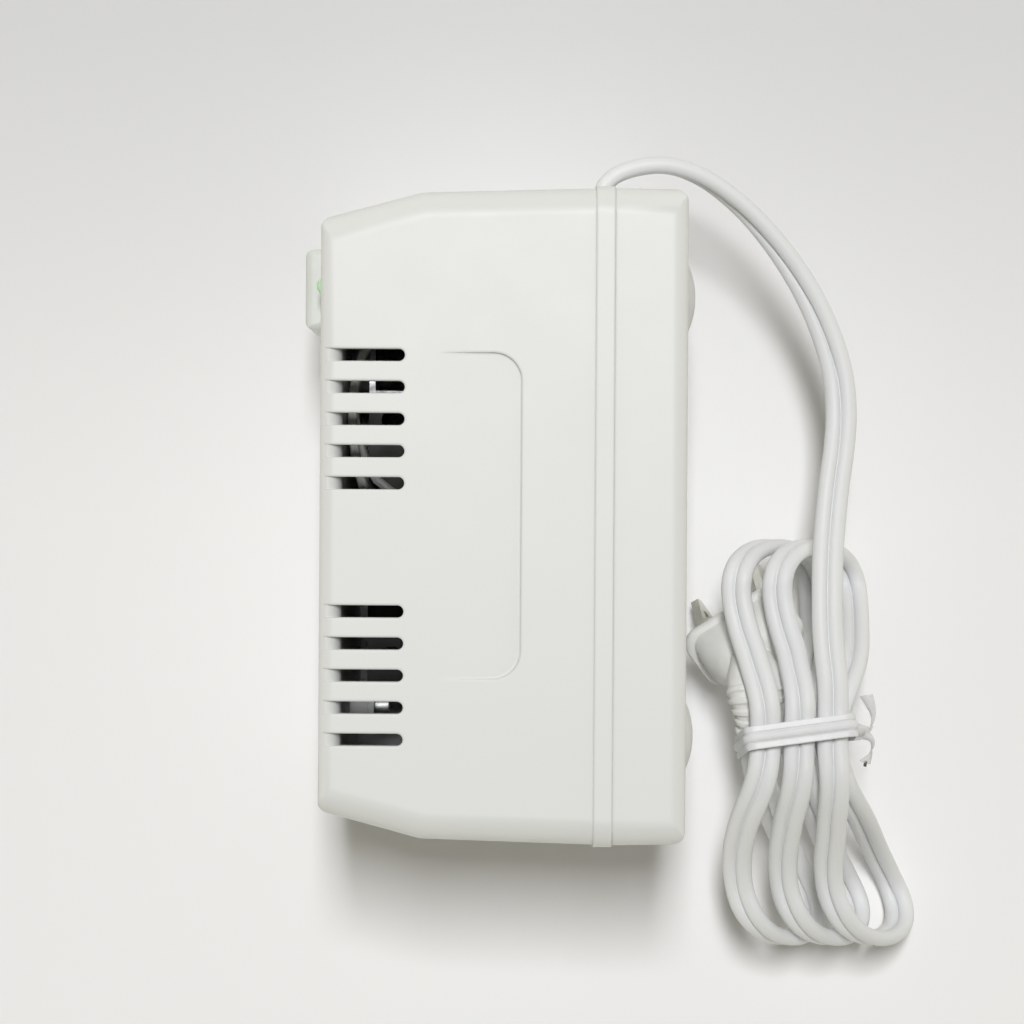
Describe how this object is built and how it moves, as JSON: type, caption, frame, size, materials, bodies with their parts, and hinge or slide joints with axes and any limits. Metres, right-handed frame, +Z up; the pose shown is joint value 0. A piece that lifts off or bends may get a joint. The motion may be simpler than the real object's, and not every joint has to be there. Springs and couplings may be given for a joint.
{
  "type": "travel voltage converter",
  "caption": "Off-white step-down voltage converter lying on its side, with slotted vents, a flat-blade outlet, a pilot lamp and a mains cord tied in a hank with its plug.",
  "frame": {"origin": "on the surface that the case lies on, under the middle of the case with its outlet and feet", "axes": "+X from the outlet's front to the feet on the rear, +Y along the case to the end where the cord leaves, +Z up from the side face that it lies on"},
  "size_m": [0.1086, 0.1385, 0.07],
  "materials": {
    "case": "semi-gloss off-white moulding",
    "outlet": "semi-gloss off-white moulding",
    "feet": "pale grey soft rubber",
    "lamp": "clear green lens",
    "steel": "zinc plated",
    "brass": "rolled strip",
    "fibre": "pressed board",
    "resistor": "lacquered",
    "leads": "white insulation",
    "blue_leads": "blue insulation",
    "core": "varnished silicon steel sheets",
    "bobbin": "natural nylon",
    "copper": "enamelled copper wire",
    "tape": "polyester tape",
    "cord": "soft white vinyl",
    "tie": "white vinyl over wire",
    "plug": "moulded off-white vinyl",
    "blades": "nickel plated"
  },
  "bodies": {
    "root": {"front_housing": "case", "rear_cover": "case", "cover_screws": "steel", "rubber_feet": "feet", "outlet_face": "outlet", "outlet_contacts": "brass", "outlet_back": "fibre", "outlet_screws": "steel", "pilot_lamp": "lamp", "lamp_board": "fibre", "lamp_resistor": "resistor", "lamp_leads": "leads", "core_laminations": "core", "bobbin": "bobbin", "primary_winding": "copper", "secondary_winding": "copper", "winding_tape": "tape", "core_bracket": "steel", "bracket_screws": "steel", "thermal_fuse": "resistor", "splice_caps": "leads", "primary_leads": "leads", "secondary_leads": "blue_leads", "cord_clamp": "bobbin", "cord_clamp_screws": "steel", "cord_inlet": "cord", "cord_cores": "leads", "mains_cord": "cord", "cord_hank": "cord", "cord_tie": "tie", "plug_body": "plug", "plug_blades": "blades"}
  },
  "joints": []
}
